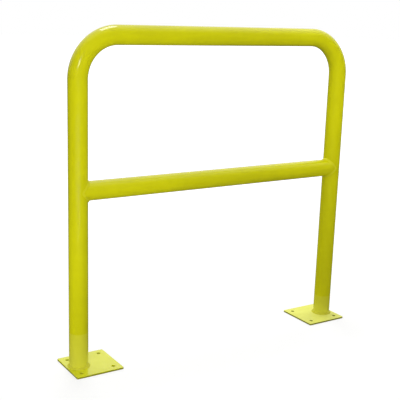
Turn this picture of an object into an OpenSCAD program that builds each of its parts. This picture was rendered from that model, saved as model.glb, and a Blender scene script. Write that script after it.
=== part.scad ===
// Hoop guard rail: one bent steel pipe, a coped mid rail and two base plates, welded and
// powder coated yellow. X runs along the rail, Y across it and Z up. The origin lies on the
// floor, midway between the two legs. All sizes are in millimetres.

/* [Hoop] */
// Height of the top of the rail above the floor
rail_height = 1067; // [850:1:1300]
// Width over the outsides of the two legs
rail_width = 1067; // [700:1:2400]
// Outside diameter of the pipe, the same for the hoop and the mid rail
pipe_od = 60.3; // [48.3:0.1:76.1]
// Wall thickness of the pipe
pipe_wall = 3.9; // [2:0.1:6]
// Radius of the two bends, at the middle of the pipe
bend_radius = 130; // [100:1:240]

/* [Mid rail] */
// Height of the middle of the mid rail above the floor
mid_rail_height = 571; // [300:1:700]
// Gap left between the coped end of the mid rail and the leg, closed by the weld
cope_gap = 0.3; // [0.2:0.1:1]

/* [Base plates] */
// Length of each plate, along the rail
plate_length = 160; // [130:1:220]
// Depth of each plate, across the rail
plate_depth = 160; // [140:1:220]
// Thickness of each plate
plate_thickness = 6; // [4:0.5:12]
// Radius of the plate's corners
plate_corner_radius = 4; // [2:0.5:12]
// Bevel that takes the sharpness off the plate's upper edges and hole rims
plate_edge_break = 0.8; // [0.3:0.1:1.5]
// Width of plate left outside the pipe, on the side away from the other leg
plate_outer_margin = 10; // [8:0.5:30]
// Diameter of the four fixing holes
fixing_hole_diameter = 12; // [8:0.5:18]
// Distance from each fixing hole's centre to the plate's nearest two edges
fixing_hole_inset = 25; // [18:0.5:30]

/* [Welds] */
// Leg length of the fillet round the foot of each leg
foot_weld_leg = 6; // [3:0.5:7]
// Leg length of the fillet round each end of the mid rail
mid_weld_leg = 5; // [3:0.5:7]
// Height that the face of each weld stands above a straight fillet
weld_crown = 1; // [0.5:0.1:1.5]

/* [Hidden] */
$fn = 96;

powder_yellow = [0.80, 0.79, 0.08];
weld_yellow = [0.76, 0.75, 0.08];

pipe_radius = pipe_od / 2;
pipe_bore = pipe_od - 2 * pipe_wall;

// Lines that the hoop's pipe follows
leg_x = rail_width / 2 - pipe_radius;
top_rail_z = rail_height - pipe_radius;
bend_x = leg_x - bend_radius;
bend_z = top_rail_z - bend_radius;

// The plate reaches past the pipe on the outer side, so most of it lies under the opening
plate_x = leg_x + pipe_radius + plate_outer_margin - plate_length / 2;
hole_offset_x = plate_length / 2 - fixing_hole_inset;
hole_offset_y = plate_depth / 2 - fixing_hole_inset;

// The mid rail's ends are cut to this radius, so that they sit round the legs
cope_radius = pipe_radius + cope_gap;

// The swept weld starts below both pipes' surfaces and is then cut back to them by cylinders
// that are finer than the pipes, so that the thin bead keeps its true section
weld_rings = 96;
weld_face_steps = 6;
weld_sink = 0.4;
weld_root_depth = 3;
mid_weld_crown = weld_crown + weld_sink;
weld_cut_fn = 360;

function unit(v) = v / norm(v);

// Pipe wall, seen end on
module pipe_section() {
    difference() {
        circle(d = pipe_od);
        circle(d = pipe_bore);
    }
}

// Straight pipe that starts at the origin and rises along Z
module straight_pipe(length) {
    linear_extrude(height = length) pipe_section();
}

// Quarter bend from a leg, at the far end of X, up and over to the top rail
module bend() {
    rotate([90, 0, 0])
        rotate_extrude(angle = 90)
            translate([bend_radius, 0]) pipe_section();
}

// Places a piece made for the right-hand side on the right, or mirrored on the left
module on_side(side) {
    mirror([side < 0 ? 1 : 0, 0, 0]) children();
}

// One pipe, bent twice, from the right plate over the top to the left plate
module hoop_pipe() {
    color(powder_yellow)
        union() {
            for (side = [-1, 1])
                on_side(side) {
                    translate([leg_x, 0, plate_thickness]) straight_pipe(bend_z - plate_thickness);
                    translate([bend_x, 0, bend_z]) bend();
                }
            translate([-bend_x, 0, top_rail_z]) rotate([0, 90, 0]) straight_pipe(2 * bend_x);
        }
}

// Straight pipe between the legs, with both ends coped to fit round them
module mid_rail() {
    color(powder_yellow)
        difference() {
            translate([-leg_x, 0, mid_rail_height]) rotate([0, 90, 0]) straight_pipe(2 * leg_x);
            for (side = [-1, 1])
                translate([side * leg_x, 0, mid_rail_height])
                    cylinder(r = cope_radius, h = 2 * pipe_od, center = true);
        }
}

// Slab that runs along X, with its two long upper edges bevelled
module bevelled_slab(length, depth) {
    rotate([90, 0, 90])
        linear_extrude(height = length, center = true)
            polygon([
                [-depth / 2, 0],
                [depth / 2, 0],
                [depth / 2, plate_thickness - plate_edge_break],
                [depth / 2 - plate_edge_break, plate_thickness],
                [-depth / 2 + plate_edge_break, plate_thickness],
                [-depth / 2, plate_thickness - plate_edge_break]
            ]);
}

// Round corner of the plate, bevelled like the slabs
module plate_corner() {
    straight_height = plate_thickness - plate_edge_break;
    cylinder(r = plate_corner_radius, h = straight_height);
    translate([0, 0, straight_height])
        cylinder(r1 = plate_corner_radius, r2 = plate_corner_radius - plate_edge_break, h = plate_edge_break);
}

// Fixing hole, with its upper rim bevelled
module fixing_hole() {
    translate([0, 0, -1]) cylinder(d = fixing_hole_diameter, h = plate_thickness + 2);
    translate([0, 0, plate_thickness - plate_edge_break])
        cylinder(
            d1 = fixing_hole_diameter,
            d2 = fixing_hole_diameter + 4 * plate_edge_break,
            h = 2 * plate_edge_break
        );
}

// Flat plate with rounded corners and four fixing holes, standing off to the inside of its leg
module base_plate(side) {
    corner_x = plate_length / 2 - plate_corner_radius;
    corner_y = plate_depth / 2 - plate_corner_radius;
    color(powder_yellow)
        on_side(side)
            translate([plate_x, 0, 0])
                difference() {
                    union() {
                        bevelled_slab(2 * corner_x, plate_depth);
                        rotate([0, 0, 90]) bevelled_slab(2 * corner_y, plate_length);
                        for (x = [-corner_x, corner_x], y = [-corner_y, corner_y])
                            translate([x, y, 0]) plate_corner();
                    }
                    for (x = [-hole_offset_x, hole_offset_x], y = [-hole_offset_y, hole_offset_y])
                        translate([x, y, 0]) fixing_hole();
                }
}

// Fillet round the foot of a leg: a convex face between its toes on the pipe and on the plate
module foot_weld(side) {
    half_chord = foot_weld_leg / sqrt(2);
    face_radius = (pow(half_chord, 2) + pow(weld_crown, 2)) / (2 * weld_crown);
    face_centre = foot_weld_leg / 2 - (face_radius - weld_crown) / sqrt(2);
    color(weld_yellow)
        on_side(side)
            translate([leg_x, 0, plate_thickness])
                rotate_extrude()
                    translate([pipe_radius, 0])
                        intersection() {
                            square(2 * foot_weld_leg);
                            translate([face_centre, face_centre]) circle(r = face_radius);
                        }
}

// The mid rail's weld is laid out round the rail's axis, from the leg's centre towards the
// middle of the rail: x along the rail, and the angle a from the top of the rail.

// Angle round the leg of the edge of the coped end
function cope_angle(a) = asin(pipe_radius * sin(a) / cope_radius);

// Point on the edge of the coped end, where the two pipes meet
function weld_root(a) = [
    cope_radius * cos(cope_angle(a)),
    pipe_radius * sin(a),
    pipe_radius * cos(a)
];

// Direction out of the corner between the two pipes
function weld_outward(a) = unit(
    [cos(cope_angle(a)), sin(cope_angle(a)), 0] + [0, sin(a), cos(a)]
);

// Toe of the weld on the leg, just under the leg's surface
function leg_toe(a) =
    let (round_leg = cope_angle(a) + mid_weld_leg / pipe_radius * 180 / PI * sin(a))
    [
        (pipe_radius - weld_sink) * cos(round_leg),
        (pipe_radius - weld_sink) * sin(round_leg),
        (pipe_radius + mid_weld_leg) * cos(a)
    ];

// Toe of the weld on the mid rail, just under the rail's surface
function rail_toe(a) = [
    cope_radius * cos(cope_angle(a)) + mid_weld_leg,
    (pipe_radius - weld_sink) * sin(a),
    (pipe_radius - weld_sink) * cos(a)
];

// Crowned face from one toe to the other, and a root point inside both pipes
function weld_ring(a) = concat(
    [weld_root(a) - weld_root_depth * weld_outward(a)],
    [
        for (step = [0:weld_face_steps])
            let (t = step / weld_face_steps)
            (1 - t) * leg_toe(a) + t * rail_toe(a) + 4 * mid_weld_crown * t * (1 - t) * weld_outward(a)
    ]
);

// Closed bead, one ring of points after another round the end of the rail
module swept_weld() {
    ring_size = weld_face_steps + 2;
    points = [for (ring = [0:weld_rings - 1]) each weld_ring(360 * ring / weld_rings)];
    triangles = [
        for (ring = [0:weld_rings - 1], k = [0:ring_size - 1])
            let (
                here = ring * ring_size,
                next = (ring + 1) % weld_rings * ring_size,
                l = (k + 1) % ring_size
            )
            each [
                [here + k, next + l, here + l],
                [here + k, next + k, next + l]
            ]
    ];
    polyhedron(points = points, faces = triangles, convexity = 8);
}

// Fillet round one coped end of the mid rail, cut back to the surfaces of both pipes
module mid_rail_weld(side) {
    color(weld_yellow)
        on_side(side)
            translate([leg_x, 0, mid_rail_height])
                difference() {
                    mirror([1, 0, 0]) swept_weld();
                    cylinder(r = pipe_radius, h = 2 * pipe_od, center = true, $fn = weld_cut_fn);
                    rotate([0, -90, 0]) cylinder(r = pipe_radius, h = 2 * pipe_od, $fn = weld_cut_fn);
                }
}

hoop_pipe();
mid_rail();
base_plate(-1);  // left_base_plate
base_plate(1);  // right_base_plate
foot_weld(-1);  // left_foot_weld
foot_weld(1);  // right_foot_weld
mid_rail_weld(-1);  // left_mid_rail_weld
mid_rail_weld(1);  // right_mid_rail_weld
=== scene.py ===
import math

import bmesh
import bpy
from mathutils import Matrix, Vector


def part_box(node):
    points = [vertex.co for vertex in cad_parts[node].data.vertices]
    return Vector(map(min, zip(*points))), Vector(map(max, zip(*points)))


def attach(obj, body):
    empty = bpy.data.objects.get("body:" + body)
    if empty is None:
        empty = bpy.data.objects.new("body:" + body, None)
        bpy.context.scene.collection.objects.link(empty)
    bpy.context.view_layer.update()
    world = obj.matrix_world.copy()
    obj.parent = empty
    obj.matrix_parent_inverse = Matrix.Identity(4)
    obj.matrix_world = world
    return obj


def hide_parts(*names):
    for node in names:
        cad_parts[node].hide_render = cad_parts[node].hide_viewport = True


# Hoop guard rail of bent steel pipe, powder coated yellow. Everything is in metres:
# X runs along the rail, Y across it and Z up, and the origin is on the floor.
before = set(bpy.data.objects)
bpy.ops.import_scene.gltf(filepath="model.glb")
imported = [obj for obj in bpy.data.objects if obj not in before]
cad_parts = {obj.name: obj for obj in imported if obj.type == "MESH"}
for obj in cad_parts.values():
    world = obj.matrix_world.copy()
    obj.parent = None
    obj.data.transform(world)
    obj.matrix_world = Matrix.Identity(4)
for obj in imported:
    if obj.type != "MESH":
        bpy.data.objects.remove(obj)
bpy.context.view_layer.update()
print("frame loaded:", ", ".join(sorted(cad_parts)))

# What the CAD nodes say about the pipes and plates
hoopLow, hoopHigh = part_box("hoop_pipe")
railLow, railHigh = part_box("mid_rail")
pipeRadius = (railHigh.z - railLow.z) / 2
legX = hoopHigh.x - pipeRadius
topRailZ = hoopHigh.z - pipeRadius
plateTop = hoopLow.z
midRailZ = (railLow.z + railHigh.z) / 2


# Nodes for the powder coat and the stage, with every pattern on Object coordinates
def addNode(tree, kind, **inputs):
    node = tree.nodes.new(kind)
    for name, value in inputs.items():
        node.inputs[name].default_value = value
    return node


def mathNode(tree, operation, first, second=0):
    node = tree.nodes.new("ShaderNodeMath")
    node.operation = operation
    for socket, value in zip(node.inputs, (first, second)):
        if isinstance(value, (int, float)):
            socket.default_value = value
        else:
            tree.links.new(value, socket)
    return node.outputs[0]


def vectorNode(tree, operation, first, second=None):
    node = tree.nodes.new("ShaderNodeVectorMath")
    node.operation = operation
    tree.links.new(first, node.inputs[0])
    if second:
        node.inputs[1].default_value = second
    return node


def mapRange(tree, value, fromMin, fromMax, toMin, toMax):
    node = tree.nodes.new("ShaderNodeMapRange")
    tree.links.new(value, node.inputs["Value"])
    node.inputs["From Min"].default_value = fromMin
    node.inputs["From Max"].default_value = fromMax
    node.inputs["To Min"].default_value = toMin
    node.inputs["To Max"].default_value = toMax
    return node.outputs["Result"]


def noiseNode(tree, coords, scale, detail):
    node = addNode(tree, "ShaderNodeTexNoise", Scale=scale, Detail=detail)
    tree.links.new(coords, node.inputs["Vector"])
    return node.outputs["Fac"]


def mixColour(tree, factor, first, second):
    node = tree.nodes.new("ShaderNodeMix")
    node.data_type = "RGBA"
    tree.links.new(factor, node.inputs["Factor"])
    for socket, value in ((node.inputs["A"], first), (node.inputs["B"], second)):
        if isinstance(value, tuple):
            socket.default_value = value
        else:
            tree.links.new(value, socket)
    return node.outputs["Result"]


powderCoat = {
    "deep": (0.560, 0.545, 0.0010, 1),       # where the film is thick
    "light": (0.625, 0.612, 0.0030, 1),      # where it is thin
    "cloudScale": 7.0,                       # slow changes of the film
    "cloudDetail": 3,
    "cloudShare": 0.7,
    "mottleScale": 55.0,                     # quicker ones
    "mottleDetail": 2,
    "mottleShare": 0.3,
    "filmRange": (0.3, 0.7),                 # levels of both together, from deep to light
    "roughness": (0.11, 0.19),               # of the light film and of the deep film
    "peelScale": 240.0,                      # orange peel, about 4 mm across
    "peelDetail": 1.5,
    "peelStrength": 0.10,
    "grainScale": 1500.0,
    "grainDetail": 1,
    "grainStrength": 0.03,
    "bumpDepth": 0.0006,
    "shine": 0.5,                            # specular level, where 0.5 is ordinary
}

# A paler, less yellow band low on each leg, with a straight upper edge, stronger towards the foot
footBand = {
    "colour": (0.67, 0.66, 0.065, 1),
    "leftTop": 0.121,                        # heights of the upper edge
    "rightTop": 0.078,
    "edge": 0.0015,                          # half the height over which it fades out
    "atTop": 0.35,                           # how much of its colour shows
    "atFoot": 0.75,
}

# Darker colour on the plates' outer side faces, and painted shade on their hole walls
darkSidesAndHoleShade = {
    "colour": (0.250, 0.240, 0.006, 1),
    "fades": (0.0046, 0.0058),               # heights between which the plate's own colour takes over
    "outside": 0.9,                          # how much of its colour shows
    # painted shade on the hole walls of each plate
    "leftHoleShade": 0.25,
    "rightHoleShade": 0.95,
    "plateX": 0.4635,                        # from the guard's middle to the plates' middles
    "reach": 0.0785,                         # from a plate's middle to just inside its outer faces
}


def makePowderCoat(name, changes={}, overlay=None):
    look = {**powderCoat, **changes}
    material = bpy.data.materials.new(name)
    material.use_nodes = True
    tree = material.node_tree
    shader = tree.nodes["Principled BSDF"]
    shader.inputs["Specular IOR Level"].default_value = look["shine"]
    coords = tree.nodes.new("ShaderNodeTexCoord").outputs["Object"]

    clouds = noiseNode(tree, coords, look["cloudScale"], look["cloudDetail"])
    mottle = noiseNode(tree, coords, look["mottleScale"], look["mottleDetail"])
    slow = mathNode(tree, "MULTIPLY", clouds, look["cloudShare"])
    quick = mathNode(tree, "MULTIPLY", mottle, look["mottleShare"])
    film = mathNode(tree, "ADD", slow, quick)
    colour = mixColour(tree, mapRange(tree, film, *look["filmRange"], 0, 1), look["deep"], look["light"])
    if overlay:
        colour = overlay(tree, coords, colour)
    tree.links.new(colour, shader.inputs["Base Color"])

    low, high = look["roughness"]
    tree.links.new(mapRange(tree, film, *look["filmRange"], high, low), shader.inputs["Roughness"])

    peel = noiseNode(tree, coords, look["peelScale"], look["peelDetail"])
    grain = noiseNode(tree, coords, look["grainScale"], look["grainDetail"])
    peelBump = addNode(tree, "ShaderNodeBump", Strength=look["peelStrength"], Distance=look["bumpDepth"])
    grainBump = addNode(tree, "ShaderNodeBump", Strength=look["grainStrength"], Distance=look["bumpDepth"])
    tree.links.new(peel, peelBump.inputs["Height"])
    tree.links.new(grain, grainBump.inputs["Height"])
    tree.links.new(peelBump.outputs["Normal"], grainBump.inputs["Normal"])
    tree.links.new(grainBump.outputs["Normal"], shader.inputs["Normal"])
    return material


def addFootBand(tree, coords, colour):
    split = tree.nodes.new("ShaderNodeSeparateXYZ")
    tree.links.new(coords, split.inputs[0])
    onRight = mathNode(tree, "GREATER_THAN", split.outputs["X"])
    top = mapRange(tree, onRight, 0, 1, footBand["leftTop"], footBand["rightTop"])
    above = mathNode(tree, "SUBTRACT", split.outputs["Z"], top)
    covered = mapRange(tree, above, -footBand["edge"], footBand["edge"], 1, 0)
    towardsFoot = mathNode(tree, "DIVIDE", split.outputs["Z"], top)
    strength = mapRange(tree, towardsFoot, 0, 1, footBand["atFoot"], footBand["atTop"])
    return mixColour(tree, mathNode(tree, "MULTIPLY", covered, strength), colour, footBand["colour"])


def addDarkSidesAndHoleShade(tree, coords, colour):
    # The outer side faces get a darker colour, and the hole walls get painted shade
    split = tree.nodes.new("ShaderNodeSeparateXYZ")
    tree.links.new(coords, split.inputs[0])
    fromCentre = mathNode(tree, "ABSOLUTE", split.outputs["X"])
    alongX = mathNode(tree, "ABSOLUTE", mathNode(tree, "SUBTRACT", fromCentre, darkSidesAndHoleShade["plateX"]))
    alongY = mathNode(tree, "ABSOLUTE", split.outputs["Y"])
    farthest = mathNode(tree, "MAXIMUM", alongX, alongY)
    isOutside = mathNode(tree, "GREATER_THAN", farthest, darkSidesAndHoleShade["reach"])
    onRight = mathNode(tree, "GREATER_THAN", split.outputs["X"])
    holeShade = mapRange(tree, onRight, 0, 1, darkSidesAndHoleShade["leftHoleShade"], darkSidesAndHoleShade["rightHoleShade"])
    outside = mathNode(tree, "MULTIPLY", isOutside, darkSidesAndHoleShade["outside"])
    strength = mathNode(tree, "MAXIMUM", holeShade, outside)
    below = mapRange(tree, split.outputs["Z"], *darkSidesAndHoleShade["fades"], 1, 0)
    return mixColour(tree, mathNode(tree, "MULTIPLY", below, strength), colour, darkSidesAndHoleShade["colour"])


pipeCoat = makePowderCoat("pipeCoat", overlay=addFootBand)
plateLook = {"cloudScale": 16.0, "peelStrength": 0.12}
# The plates' coats are copies of the pipes' coat painted lighter and greener, as painted light from above
leftPlateLitCoat = makePowderCoat("leftPlateLitCoat", {
    **plateLook,
    "deep": (0.635, 0.650, 0.010, 1),
    "light": (0.690, 0.705, 0.024, 1),
    "shine": 0.42,
}, addDarkSidesAndHoleShade)
# The right plate's coat is paler and whiter still, with painted light from above and a painted sheen
rightPlateLitSheenCoat = makePowderCoat("rightPlateLitSheenCoat", {
    **plateLook,
    "deep": (0.730, 0.740, 0.130, 1),
    "light": (0.785, 0.795, 0.160, 1),
    "roughness": (0.45, 0.58),
    "shine": 0.3,
}, addDarkSidesAndHoleShade)
weldLook = {"mottleScale": 140.0, "roughness": (0.40, 0.55), "shine": 0.25}
railWeldCoat = makePowderCoat("railWeldCoat", weldLook)
footWeldCoat = makePowderCoat("footWeldCoat", {
    **weldLook,
    "deep": (0.545, 0.530, 0.014, 1),
    "light": (0.605, 0.590, 0.030, 1),
})
print("materials made")

# What every piece is finished with
sharpAngle = math.radians(50)                # edges sharper than this part the shading
sameSpot = 1e-6                              # metres within which places count as the same


def meshObject(name, bm, material):
    mesh = bpy.data.meshes.new(name)
    bm.to_mesh(mesh)
    bm.free()
    mesh.materials.append(material)
    obj = bpy.data.objects.new(name, mesh)
    bpy.context.scene.collection.objects.link(obj)
    return obj


def makePiece(name, bm, node, material):
    bmesh.ops.remove_doubles(bm, verts=bm.verts, dist=sameSpot)
    bmesh.ops.recalc_face_normals(bm, faces=bm.faces)
    for face in bm.faces:
        face.smooth = True
    for edge in bm.edges:
        edge.smooth = edge.calc_face_angle(0) < sharpAngle
    piece = meshObject(name, bm, material)
    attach(piece, "root")
    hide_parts(node)
    return piece


pipe = {
    "wall": 0.0039,
    "bendRadius": 0.130,     # at the middle of the pipe
    "roundSegments": 96,
    "bendSteps": 40,
    "copeGap": 0.0003,       # between the leg and the rail's coped end
}


def pipeWall(bm):
    # Flat ring of the pipe's wall at the origin, facing along Z
    for radius in (pipeRadius, pipeRadius - pipe["wall"]):
        bmesh.ops.create_circle(bm, cap_ends=False, segments=pipe["roundSegments"], radius=radius)
    return bmesh.ops.bridge_loops(bm, edges=bm.edges[:])["faces"]


def runStraight(bm, faces, move):
    grown = bmesh.ops.extrude_face_region(bm, geom=faces)["geom"]
    verts = [part for part in grown if isinstance(part, bmesh.types.BMVert)]
    bmesh.ops.translate(bm, verts=verts, vec=move)
    return [part for part in grown if isinstance(part, bmesh.types.BMFace)]


def runBend(bm, faces, centre):
    grown = bmesh.ops.spin(
        bm, geom=faces, cent=centre, axis=(0, 1, 0), angle=math.radians(-90),
        steps=pipe["bendSteps"], use_merge=False,
    )["geom_last"]
    return [part for part in grown if isinstance(part, bmesh.types.BMFace)]


def makeHoop():
    bendX = legX - pipe["bendRadius"]
    bendZ = topRailZ - pipe["bendRadius"]
    bm = bmesh.new()
    end = pipeWall(bm)
    bmesh.ops.translate(bm, verts=bm.verts, vec=(legX, 0, plateTop))
    end = runStraight(bm, end, (0, 0, bendZ - plateTop))
    end = runBend(bm, end, (bendX, 0, bendZ))
    end = runStraight(bm, end, (-2 * bendX, 0, 0))
    end = runBend(bm, end, (-bendX, 0, bendZ))
    runStraight(bm, end, (0, 0, plateTop - bendZ))
    makePiece("hoop", bm, "hoop_pipe", pipeCoat)


def makeMidRail():
    bm = bmesh.new()
    end = pipeWall(bm)
    runStraight(bm, end, (0, 0, 2 * legX))
    quarterTurn = Matrix.Rotation(math.radians(90), 3, "Y")
    bmesh.ops.rotate(bm, verts=bm.verts, cent=(0, 0, 0), matrix=quarterTurn)
    bmesh.ops.translate(bm, verts=bm.verts, vec=(-legX, 0, midRailZ))
    for vert in bm.verts:
        cope = math.sqrt((pipeRadius + pipe["copeGap"]) ** 2 - vert.co.y ** 2)
        vert.co.x = math.copysign(legX - cope, vert.co.x)
    makePiece("midRail", bm, "mid_rail", pipeCoat)


makeHoop()
makeMidRail()
print("pipes made")

plate = {
    "cornerRadius": 0.004,
    "holeInset": 0.025,
    "holeRadius": 0.006,
    "holeSegments": 40,
    "cornerSegments": 6,
    "topEdge": 0.0008,       # rounding of the upper edges and hole rims
    "bottomEdge": 0.0003,
    "edgeSegments": 3,
    "rimAngle": 60,          # degrees over which an edge is a rim
}


def roundRims(bm, height, size):
    # Rounds the sharp edges that lie at one height
    rims = [
        edge for edge in bm.edges
        if all(abs(vert.co.z - height) < sameSpot for vert in edge.verts)
        and edge.calc_face_angle(0) > math.radians(plate["rimAngle"])
    ]
    bmesh.ops.bevel(
        bm, geom=rims, offset=size, offset_type="OFFSET", segments=plate["edgeSegments"],
        profile=0.5, affect="EDGES", material=-1,
    )


def makePlate(name, node, material):
    low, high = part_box(node)
    middle = (low + high) / 2
    size = high - low
    bm = bmesh.new()
    bmesh.ops.create_grid(bm, x_segments=1, y_segments=1, size=0.5)
    bmesh.ops.scale(bm, verts=bm.verts, vec=(size.x, size.y, 1))
    bmesh.ops.bevel(
        bm, geom=bm.verts[:], offset=plate["cornerRadius"], offset_type="OFFSET",
        segments=plate["cornerSegments"], profile=0.5, affect="VERTICES", material=-1,
    )
    bmesh.ops.delete(bm, geom=bm.faces[:], context="FACES_ONLY")
    for x in (-1, 1):
        for y in (-1, 1):
            place = Matrix.Translation((
                x * (size.x / 2 - plate["holeInset"]),
                y * (size.y / 2 - plate["holeInset"]),
                0,
            ))
            bmesh.ops.create_circle(
                bm, cap_ends=False, segments=plate["holeSegments"], radius=plate["holeRadius"],
                matrix=place,
            )
    bmesh.ops.triangle_fill(bm, use_beauty=True, edges=bm.edges[:])
    runStraight(bm, bm.faces[:], (0, 0, size.z))
    bmesh.ops.recalc_face_normals(bm, faces=bm.faces)
    roundRims(bm, size.z, plate["topEdge"])
    roundRims(bm, 0, plate["bottomEdge"])
    bmesh.ops.translate(bm, verts=bm.verts, vec=(middle.x, middle.y, low.z))
    piece = makePiece(name, bm, node, material)
    piece.modifiers.new("flatFaces", "WEIGHTED_NORMAL")


makePlate("leftPlate", "left_base_plate", leftPlateLitCoat)
makePlate("rightPlate", "right_base_plate", rightPlateLitSheenCoat)
print("plates made")

weld = {
    "footLeg": 0.006,
    "railLeg": 0.005,
    "sink": 0.0004,          # how far the toes lie under the pipes' and plates' surfaces
    "rootSink": 0.0012,      # how far a rail weld's root lies inside the joint
    "crown": 0.0003,
    "ripplePitch": 0.0034,
    "rippleHeight": 0.00030,
    "rippleBow": 0.0022,     # how far the middle of each ripple runs ahead of its ends
    "rippleSoftness": 0.03,  # rounds the valleys between ripples
    "stepsPerRipple": 8,
    "stepsAcross": 12,
    "wander": 0.00025,       # unevenness of the toes
    "wanderTurns": (3, 7, 13),    # its waves round the weld
    "footSeeds": (1, 4),     # for the toe on the leg and the toe on the plate
    "railSeeds": (2, 5),     # for the toe on the leg and the toe on the rail
    "lump": 0.0003,          # where a pass starts and stops
    "lumpLength": 0.006,
    "footStarts": (0.6, 3.9),    # angles of the lumps, in radians
    "railStarts": (1.2, 4.4),
    "saddleLength": 1.216,   # length of the rail's joint, in girths of the rail
    "saddleLead": 0.086,     # evens out its ripples, as it is longer at the rail's sides
}


def unitBead(bm, steps):
    # Ring round Z with a three-sided section: its face runs from (1, 1) out to (2, 0)
    inner = bm.verts.new((1, 0, 1))
    outer = bm.verts.new((2, 0, 0))
    root = bm.verts.new((1, 0, 0))
    face = bm.edges.new((inner, outer))
    bm.edges.new((outer, root))
    bm.edges.new((root, inner))
    bmesh.ops.subdivide_edges(bm, edges=[face], cuts=weld["stepsAcross"] - 1)
    bmesh.ops.spin(
        bm, geom=bm.verts[:] + bm.edges[:], cent=(0, 0, 0), axis=(0, 0, 1), angle=math.radians(360),
        steps=steps, use_merge=True,
    )


def isRoot(vert):
    # Radius and height add up to 1 at unitBead's root, and to 2 on its face
    return vert.co.xy.length + vert.co.z < 1.5


def wander(angle, seed):
    waves = sum(math.sin(turns * angle + seed * turns) for turns in weld["wanderTurns"])
    return weld["wander"] * waves / 2


def beadHeight(across, turns, angle, starts, radius):
    # Height of the bead over the straight line between its toes
    middle = 4 * across * (1 - across)
    phase = turns + weld["rippleBow"] / weld["ripplePitch"] * middle
    ridge = math.sqrt(math.sin(math.pi * phase) ** 2 + weld["rippleSoftness"])
    lumps = sum(
        math.exp(-((math.remainder(angle - start, 2 * math.pi) * radius / weld["lumpLength"]) ** 2))
        for start in starts
    )
    return middle * (weld["crown"] + weld["sink"] + weld["rippleHeight"] * ridge + weld["lump"] * lumps)


def makeFootWeld(name, node, side):
    ringLength = 2 * math.pi * (pipeRadius + weld["footLeg"] / 2)
    ripples = round(ringLength / weld["ripplePitch"])
    legSeed, plateSeed = weld["footSeeds"]
    slant = math.sqrt(0.5)
    bm = bmesh.new()
    unitBead(bm, ripples * weld["stepsPerRipple"])
    for vert in bm.verts:
        angle = math.atan2(vert.co.y, vert.co.x)
        across = vert.co.xy.length - 1
        if isRoot(vert):
            radial, height = pipeRadius - weld["sink"], -weld["sink"]
        else:
            legToe = weld["footLeg"] + wander(angle, legSeed + side)
            plateToe = weld["footLeg"] + wander(angle, plateSeed + side)
            turns = ripples * angle / (2 * math.pi)
            rise = beadHeight(across, turns, angle, weld["footStarts"], pipeRadius)
            radial = pipeRadius - (1 - across) * weld["sink"] + across * plateToe + rise * slant
            height = (1 - across) * legToe - across * weld["sink"] + rise * slant
        vert.co = Vector((
            side * legX + radial * math.cos(angle),
            radial * math.sin(angle),
            plateTop + height,
        ))
    makePiece(name, bm, node, footWeldCoat)


def makeRailWeld(name, node, side):
    # Laid out round the rail's axis: x runs from the leg's centre along the rail, and the angle
    # starts at the rail's top
    copeRadius = pipeRadius + pipe["copeGap"]
    ringLength = 2 * math.pi * pipeRadius * weld["saddleLength"]
    ripples = round(ringLength / weld["ripplePitch"])
    legSeed, railSeed = weld["railSeeds"]
    bm = bmesh.new()
    unitBead(bm, ripples * weld["stepsPerRipple"])
    for vert in bm.verts:
        angle = math.atan2(vert.co.y, vert.co.x)
        across = vert.co.xy.length - 1
        roundLeg = math.asin(pipeRadius * math.sin(angle) / copeRadius)
        root = Vector((
            copeRadius * math.cos(roundLeg),
            pipeRadius * math.sin(angle),
            pipeRadius * math.cos(angle),
        ))
        outOfLeg = Vector((math.cos(roundLeg), math.sin(roundLeg), 0))
        outOfRail = Vector((0, math.sin(angle), math.cos(angle)))
        outward = (outOfLeg + outOfRail).normalized()
        if isRoot(vert):
            place = root - weld["rootSink"] * outward
        else:
            reach = weld["railLeg"] + wander(angle, legSeed + side)
            toeAngle = roundLeg + reach / pipeRadius * math.sin(angle)
            legToe = Vector((
                (pipeRadius - weld["sink"]) * math.cos(toeAngle),
                (pipeRadius - weld["sink"]) * math.sin(toeAngle),
                (pipeRadius + reach) * math.cos(angle),
            ))
            reach = weld["railLeg"] + wander(angle, railSeed + side)
            railToe = Vector((
                root.x + reach,
                (pipeRadius - weld["sink"]) * math.sin(angle),
                (pipeRadius - weld["sink"]) * math.cos(angle),
            ))
            turns = ripples * (angle - weld["saddleLead"] * math.sin(2 * angle)) / (2 * math.pi)
            rise = beadHeight(across, turns, angle, weld["railStarts"], pipeRadius)
            place = legToe.lerp(railToe, across) + rise * outward
        vert.co = Vector((side * (legX - place.x), place.y, midRailZ + place.z))
    makePiece(name, bm, node, railWeldCoat)


makeFootWeld("leftFootWeld", "left_foot_weld", -1)
makeFootWeld("rightFootWeld", "right_foot_weld", 1)
makeRailWeld("leftRailWeld", "left_mid_rail_weld", -1)
makeRailWeld("rightRailWeld", "right_mid_rail_weld", 1)
print("welds made")

# Stage: a white floor that keeps a soft shadow, and white all round
stage = {
    "floorSize": 60.0,
    "floorColour": (0.35, 0.35, 0.35, 1),
    "floorGlow": 0.66,       # what brings the lit floor near the guard up to white
    "glowNear": 1.2,         # distances from the guard between which the glow itself rises to white
    "glowFar": 4.0,
    "ambient": (0.63, 0.63, 0.63, 1),
    "white": (1, 1, 1, 1),
}


def seenDirectly(tree):
    # 1 for rays from the camera and for those that gloss or glass sends on
    path = tree.nodes.new("ShaderNodeLightPath")
    seen = mathNode(tree, "MAXIMUM", path.outputs["Is Camera Ray"], path.outputs["Is Glossy Ray"])
    return mathNode(tree, "MAXIMUM", seen, path.outputs["Is Transmission Ray"])


def stageMaterial(name):
    material = bpy.data.materials.new(name)
    material.use_nodes = True
    material.cycles.emission_sampling = "NONE"
    material.node_tree.nodes.remove(material.node_tree.nodes["Principled BSDF"])
    return material


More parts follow.
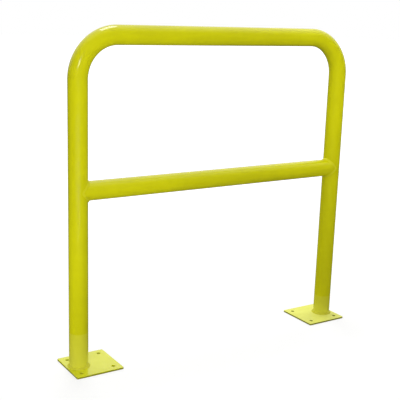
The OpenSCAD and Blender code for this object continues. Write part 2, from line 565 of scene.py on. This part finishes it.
def makeFloor():
    material = stageMaterial("floorWhite")
    tree = material.node_tree
    matt = addNode(tree, "ShaderNodeBsdfDiffuse", Color=stage["floorColour"])
    away = vectorNode(tree, "LENGTH", tree.nodes.new("ShaderNodeTexCoord").outputs["Object"])
    level = mapRange(
        tree, away.outputs["Value"], stage["glowNear"], stage["glowFar"], stage["floorGlow"], 1,
    )
    glow = tree.nodes.new("ShaderNodeEmission")
    tree.links.new(mathNode(tree, "MULTIPLY", seenDirectly(tree), level), glow.inputs["Strength"])
    both = tree.nodes.new("ShaderNodeAddShader")
    tree.links.new(matt.outputs[0], both.inputs[0])
    tree.links.new(glow.outputs[0], both.inputs[1])
    tree.links.new(both.outputs[0], tree.nodes["Material Output"].inputs["Surface"])

    bm = bmesh.new()
    bmesh.ops.create_grid(bm, x_segments=1, y_segments=1, size=stage["floorSize"] / 2)
    sheet = meshObject("floor", bm, material)


surround = {
    "radius": 7.0,
    "segments": 64,
    "middle": (0.0, 0.0, 0.6),
    "dark": 0.05,            # level of the studio's floor and low walls
    "bright": 1.25,          # level high up at the back
    "brightAzimuth": 25.0,   # degrees from +Y towards +X
    "brightHeight": 45.0,    # degrees over the horizon
    "ramp": (0.15, 0.85),    # from dark to bright, as cosines of the angle to the brightest spot
    "rise": (0.7, 2.2),      # heights between which the walls come out of the dark
    "lift": 0.001,           # of its floor over the white one
}


def makeSurround():
    # The studio as the coat's gloss shows it: a dark floor, dark low walls and a bright upper back
    material = stageMaterial("surroundDark")
    tree = material.node_tree
    coords = tree.nodes.new("ShaderNodeTexCoord").outputs["Object"]
    outwards = vectorNode(tree, "SUBTRACT", coords, surround["middle"])
    unit = vectorNode(tree, "NORMALIZE", outwards.outputs["Vector"])
    azimuth = math.radians(surround["brightAzimuth"])
    height = math.radians(surround["brightHeight"])
    towards = vectorNode(tree, "DOT_PRODUCT", unit.outputs["Vector"], (
        math.sin(azimuth) * math.cos(height),
        math.cos(azimuth) * math.cos(height),
        math.sin(height),
    ))
    split = tree.nodes.new("ShaderNodeSeparateXYZ")
    tree.links.new(coords, split.inputs[0])
    ramp = mapRange(tree, towards.outputs["Value"], *surround["ramp"], 0, 1)
    rise = mapRange(tree, split.outputs["Z"], *surround["rise"], 0, 1)
    light = mathNode(tree, "MULTIPLY", ramp, rise)
    level = mapRange(tree, light, 0, 1, surround["dark"], surround["bright"])
    glow = tree.nodes.new("ShaderNodeEmission")
    tree.links.new(level, glow.inputs["Strength"])
    tree.links.new(glow.outputs[0], tree.nodes["Material Output"].inputs["Surface"])

    bm = bmesh.new()
    bmesh.ops.create_uvsphere(
        bm, u_segments=surround["segments"], v_segments=surround["segments"] // 2,
        radius=surround["radius"],
    )
    geom = bm.verts[:] + bm.edges[:] + bm.faces[:]
    bmesh.ops.bisect_plane(
        bm, geom=geom, plane_co=(0, 0, surround["lift"]), plane_no=(0, 0, 1), clear_inner=True,
    )
    bmesh.ops.holes_fill(bm, edges=[edge for edge in bm.edges if edge.is_boundary], sides=0)
    dome = meshObject("surround", bm, material)
    dome.visible_camera = False
    dome.visible_diffuse = False
    dome.visible_transmission = False
    dome.visible_shadow = False


def makeWorld():
    world = bpy.data.worlds.new("white")
    bpy.context.scene.world = world
    world.use_nodes = True
    world.cycles.sampling_method = "NONE"     # so that gloss never meets the ambient level
    tree = world.node_tree
    colour = mixColour(tree, seenDirectly(tree), stage["ambient"], stage["white"])
    tree.links.new(colour, tree.nodes["Background"].inputs["Color"])


# Lamps point at the guard's middle unless they have an aim of their own. The coat mirrors only the
# ones marked so, and the last three have a grid that narrows their beam, in degrees.
guardMiddle = (0, 0, 0.55)
lamps = {
    "key": {"place": (-2.23, -2.58, 1.83), "size": 1.8, "watts": 11.3},
    "glint": {"place": (-1.92, -2.20, 1.72), "size": 0.45, "watts": 8, "mirrored": True},
    "top": {"place": (0, 0.6, 3.05), "size": 0.9, "watts": 19.2, "mirrored": True},
    "right": {"place": (1.6, 0.4, 1.2), "size": 1.0, "watts": 8},
    "back": {"place": (0.8, 2.6, 1.6), "size": 1.6, "watts": 30},
    "leftLeg": {
        "place": (-1.5, -1.2, 0.3), "aim": (-0.48, 0, 0.2), "size": 0.6, "watts": 0.7, "beam": 45,
    },
    "topRail": {
        "place": (-0.8, -1.5, 0.4), "aim": (-0.35, 0, 0.98), "size": 0.8, "watts": 1.1, "beam": 40,
    },
    "rightBend": {
        "place": (-0.4, -2.0, 1.5), "aim": (0.52, 0, 0.85), "size": 0.5, "watts": 0.8, "beam": 30,
    },
}


def makeLamp(name, lamp):
    data = bpy.data.lights.new(name, "AREA")
    data.shape = "SQUARE"
    data.size = lamp["size"]
    data.energy = lamp["watts"]
    data.spread = math.radians(lamp.get("beam", 180))
    obj = bpy.data.objects.new(name, data)
    obj.location = lamp["place"]
    beam = Vector(lamp.get("aim", guardMiddle)) - obj.location
    obj.rotation_euler = beam.to_track_quat("-Z", "Y").to_euler()
    obj.visible_glossy = lamp.get("mirrored", False)
    bpy.context.scene.collection.objects.link(obj)


cameraView = {
    "place": (-1.4686, -2.1763, 1.1053),
    "azimuth": 32.82,        # degrees from +Y towards +X
    "down": 13.11,
    "roll": 1.80,
    "lens": 71.99,
    "sensor": 36.0,
}


def makeCamera():
    data = bpy.data.cameras.new("camera")
    data.lens = cameraView["lens"]
    data.sensor_width = cameraView["sensor"]
    camera = bpy.data.objects.new("camera", data)
    turn = Matrix.Rotation(math.radians(-cameraView["azimuth"]), 4, "Z")
    tilt = Matrix.Rotation(math.radians(90 - cameraView["down"]), 4, "X")
    roll = Matrix.Rotation(math.radians(cameraView["roll"]), 4, "Z")
    camera.matrix_world = Matrix.Translation(cameraView["place"]) @ turn @ tilt @ roll
    bpy.context.scene.collection.objects.link(camera)
    bpy.context.scene.camera = camera


makeFloor()
makeSurround()
makeWorld()
for name, lamp in lamps.items():
    makeLamp(name, lamp)
makeCamera()
bpy.context.scene.view_settings.view_transform = "Standard"
print("stage, lamps and camera made")
